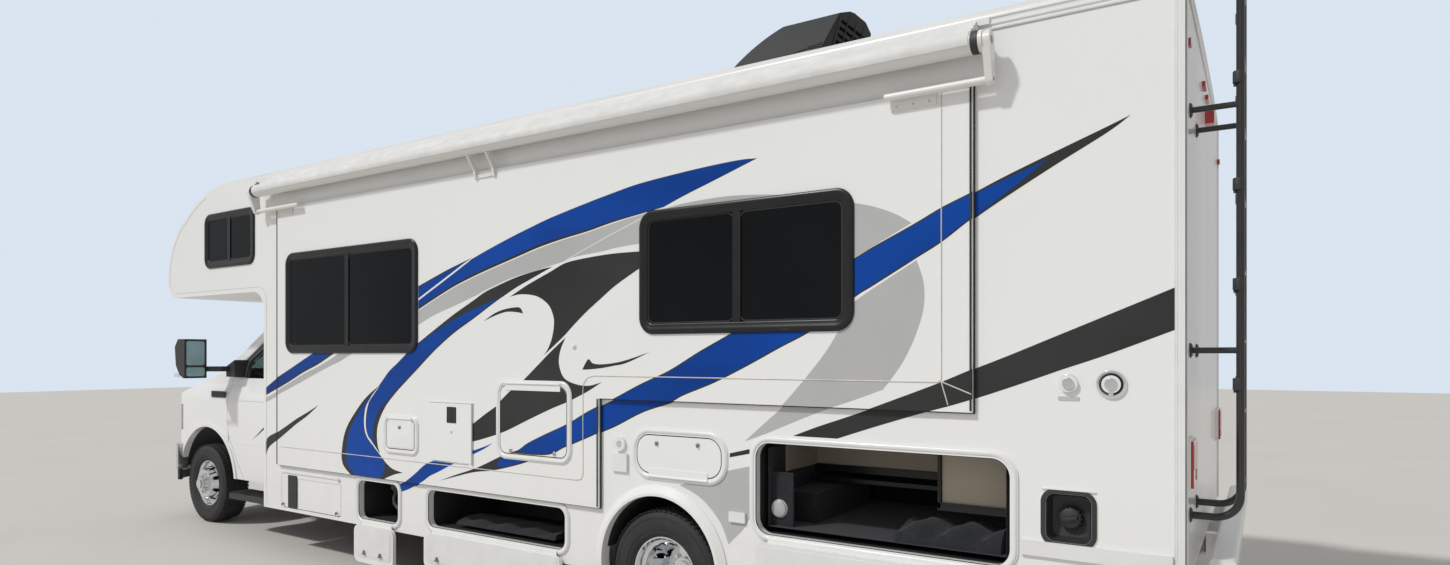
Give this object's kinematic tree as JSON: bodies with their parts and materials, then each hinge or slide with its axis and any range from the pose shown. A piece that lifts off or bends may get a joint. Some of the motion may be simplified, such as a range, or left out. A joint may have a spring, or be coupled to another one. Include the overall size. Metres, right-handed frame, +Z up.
{
  "type": "class c motorhome",
  "caption": "Class C motorhome on a cutaway van chassis, with an over-cab bunk, a long slide room, outside lockers, a roof unit, awnings, a rear ladder and twin rear wheels.",
  "frame": {"origin": "on the ground under the middle of the vehicle's box", "axes": "+X forward, +Y to the vehicle's left, +Z up"},
  "size_m": [9.2172, 2.8013, 3.5698],
  "materials": {
    "coach_skin": "smooth white fibreglass skin",
    "roof_sheet": "white roof sheet",
    "floor_board": "sandwich floor",
    "dark_glass": "dark tinted glass in black frames",
    "liner_plastic": "black moulded liner",
    "cab_paint": "white body paint",
    "clear_glass": "lightly tinted glass",
    "lamp_lens": "clear lens over a bright reflector",
    "black_trim": "black grained plastic",
    "chrome": "bright chrome",
    "cab_cloth": "grey beige seat cloth and dashboard",
    "chassis_black": "black chassis paint",
    "tank_plastic": "black tank plastic",
    "exhaust_steel": "dull exhaust steel",
    "bumper_paint": "white painted steel",
    "tyre_rubber": "black tyre rubber",
    "ladder_metal": "black coated aluminium tube",
    "unit_plastic": "dark moulded cover",
    "awning_metal": "white coated aluminium",
    "awning_cloth": "white coated awning cloth",
    "red_lens": "red lamp lens",
    "fitting_plastic": "white moulded plastic"
  },
  "bodies": {
    "coach": {"left_wall": "coach_skin", "right_wall": "coach_skin", "rear_wall": "coach_skin", "front_cap": "coach_skin", "roof": "roof_sheet", "coach_floor": "floor_board", "coach_windows": "dark_glass", "lockers": "liner_plastic", "cab_shell": "cab_paint", "windscreen": "clear_glass", "head_lamps": "lamp_lens", "grille": "black_trim", "running_boards": "black_trim", "front_bumper": "chrome", "cab_interior": "cab_cloth", "chassis_frame": "chassis_black", "engine_block": "chassis_black", "front_axle": "chassis_black", "rear_axle": "chassis_black", "tanks": "tank_plastic", "exhaust": "exhaust_steel", "rear_bumper": "bumper_paint", "ladder": "ladder_metal", "roof_units": "unit_plastic", "patio_awning": "awning_metal", "topper_fabric": "awning_cloth", "tail_lamps": "red_lens", "fittings": "fitting_plastic"},
    "slide": {"slide_room": "coach_skin", "slide_windows": "dark_glass", "topper": "awning_metal"},
    "battery_door": {"battery_door": "coach_skin"},
    "service_door": {"service_door": "coach_skin"},
    "long_door": {"long_door": "coach_skin"},
    "wheel_door": {"wheel_door": "coach_skin"},
    "trunk_door_left": {"trunk_door_left": "coach_skin"},
    "trunk_door_right": {"trunk_door_right": "coach_skin"},
    "gas_door": {"gas_door": "coach_skin"},
    "access_door": {"access_door": "coach_skin"},
    "water_hatch": {"water_hatch": "coach_skin"},
    "entry_door": {"entry_door": "coach_skin"},
    "entry_step": {"entry_step": "chassis_black"},
    "hood": {"hood": "cab_paint"},
    "cab_door_left": {"cab_door_left": "cab_paint", "door_glass_left": "clear_glass", "mirror_left": "black_trim"},
    "knuckle_left": {"knuckle_left": "chassis_black"},
    "cab_door_right": {"cab_door_right": "cab_paint", "door_glass_right": "clear_glass", "mirror_right": "black_trim"},
    "knuckle_right": {"knuckle_right": "chassis_black"},
    "wheel_front_left": {"tyre_front_left": "tyre_rubber", "rim_front_left": "chrome"},
    "wheel_front_right": {"tyre_front_right": "tyre_rubber", "rim_front_right": "chrome"},
    "wheel_rear_left": {"tyre_rear_left": "tyre_rubber", "rim_rear_left": "chrome"},
    "wheel_rear_right": {"tyre_rear_right": "tyre_rubber", "rim_rear_right": "chrome"}
  },
  "joints": [
    {"name": "steer_left", "type": "hinge", "parent": "coach", "child": "knuckle_left", "pos_m": [3.8575, 0.775, 0.372], "axis": [0, 0, 1], "range_deg": [-35, 35]},
    {"name": "spin_front_left", "type": "hinge", "parent": "knuckle_left", "child": "wheel_front_left", "pos_m": [3.8575, 0.8815, 0.372], "axis": [0, 1, 0], "continuous": true},
    {"name": "spin_rear_left", "type": "hinge", "parent": "coach", "child": "wheel_rear_left", "pos_m": [-1.8525, 0.9895, 0.372], "axis": [0, 1, 0], "continuous": true},
    {"name": "cab_door_left", "type": "hinge", "parent": "coach", "child": "cab_door_left", "pos_m": [3.4055, 1, 1.2], "axis": [0, 0, -1], "range_deg": [0, 55]},
    {"name": "steer_right", "type": "hinge", "parent": "coach", "child": "knuckle_right", "pos_m": [3.8575, -0.775, 0.372], "axis": [0, 0, 1], "range_deg": [-35, 35]},
    {"name": "spin_front_right", "type": "hinge", "parent": "knuckle_right", "child": "wheel_front_right", "pos_m": [3.8575, -0.8815, 0.372], "axis": [0, 1, 0], "continuous": true},
    {"name": "spin_rear_right", "type": "hinge", "parent": "coach", "child": "wheel_rear_right", "pos_m": [-1.8525, -0.9895, 0.372], "axis": [0, 1, 0], "continuous": true},
    {"name": "cab_door_right", "type": "hinge", "parent": "coach", "child": "cab_door_right", "pos_m": [3.4055, -1, 1.2], "axis": [0, 0, 1], "range_deg": [0, 55]},
    {"name": "hood_lift", "type": "hinge", "parent": "coach", "child": "hood", "pos_m": [3.7105, 0, 1.4215], "axis": [0, -1, 0], "range_deg": [0, 50]},
    {"name": "slide_out", "type": "slide", "parent": "coach", "child": "slide", "axis": [0, 1, 0], "range_m": [0, 0.56]},
    {"name": "entry_door", "type": "hinge", "parent": "coach", "child": "entry_door", "pos_m": [-0.5985, -1.2638, 1.6], "axis": [0, 0, 1], "range_deg": [0, 175]},
    {"name": "entry_step", "type": "slide", "parent": "coach", "child": "entry_step", "axis": [0, -1, 0], "range_m": [0, 0.28]},
    {"name": "battery_door", "type": "hinge", "parent": "coach", "child": "battery_door", "pos_m": [1.61, 1.2638, 0.664], "axis": [1, 0, 0], "range_deg": [0, 95]},
    {"name": "service_door", "type": "hinge", "parent": "coach", "child": "service_door", "pos_m": [0.724, 1.2708, 0.382], "axis": [1, 0, 0], "range_deg": [0, 180]},
    {"name": "long_door", "type": "hinge", "parent": "coach", "child": "long_door", "pos_m": [-0.4945, 1.2708, 0.412], "axis": [1, 0, 0], "range_deg": [0, 180]},
    {"name": "wheel_door", "type": "hinge", "parent": "coach", "child": "wheel_door", "pos_m": [-1.9865, 1.2708, 0.932], "axis": [-1, 0, 0], "range_deg": [0, 160]},
    {"name": "trunk_door_left", "type": "hinge", "parent": "coach", "child": "trunk_door_left", "pos_m": [-3.12, 1.2708, 0.678], "axis": [1, 0, 0], "range_deg": [0, 180]},
    {"name": "trunk_door_right", "type": "hinge", "parent": "coach", "child": "trunk_door_right", "pos_m": [-3.12, -1.2708, 1.174], "axis": [-1, 0, 0], "range_deg": [0, 100]},
    {"name": "gas_door", "type": "hinge", "parent": "coach", "child": "gas_door", "pos_m": [1.2075, -1.2708, 0.695], "axis": [-1, 0, 0], "range_deg": [0, 100]},
    {"name": "access_door", "type": "hinge", "parent": "slide", "child": "access_door", "pos_m": [-0.8925, 1.2978, 1.43], "axis": [1, 0, 0], "range_deg": [0, 170]},
    {"name": "water_hatch", "type": "hinge", "parent": "slide", "child": "water_hatch", "pos_m": [0.4205, 1.2978, 1.159], "axis": [1, 0, 0], "range_deg": [0, 170]}
  ],
  "couplings": [
    {"joint": "steer_right", "follows": "steer_left", "ratio": 1}
  ]
}
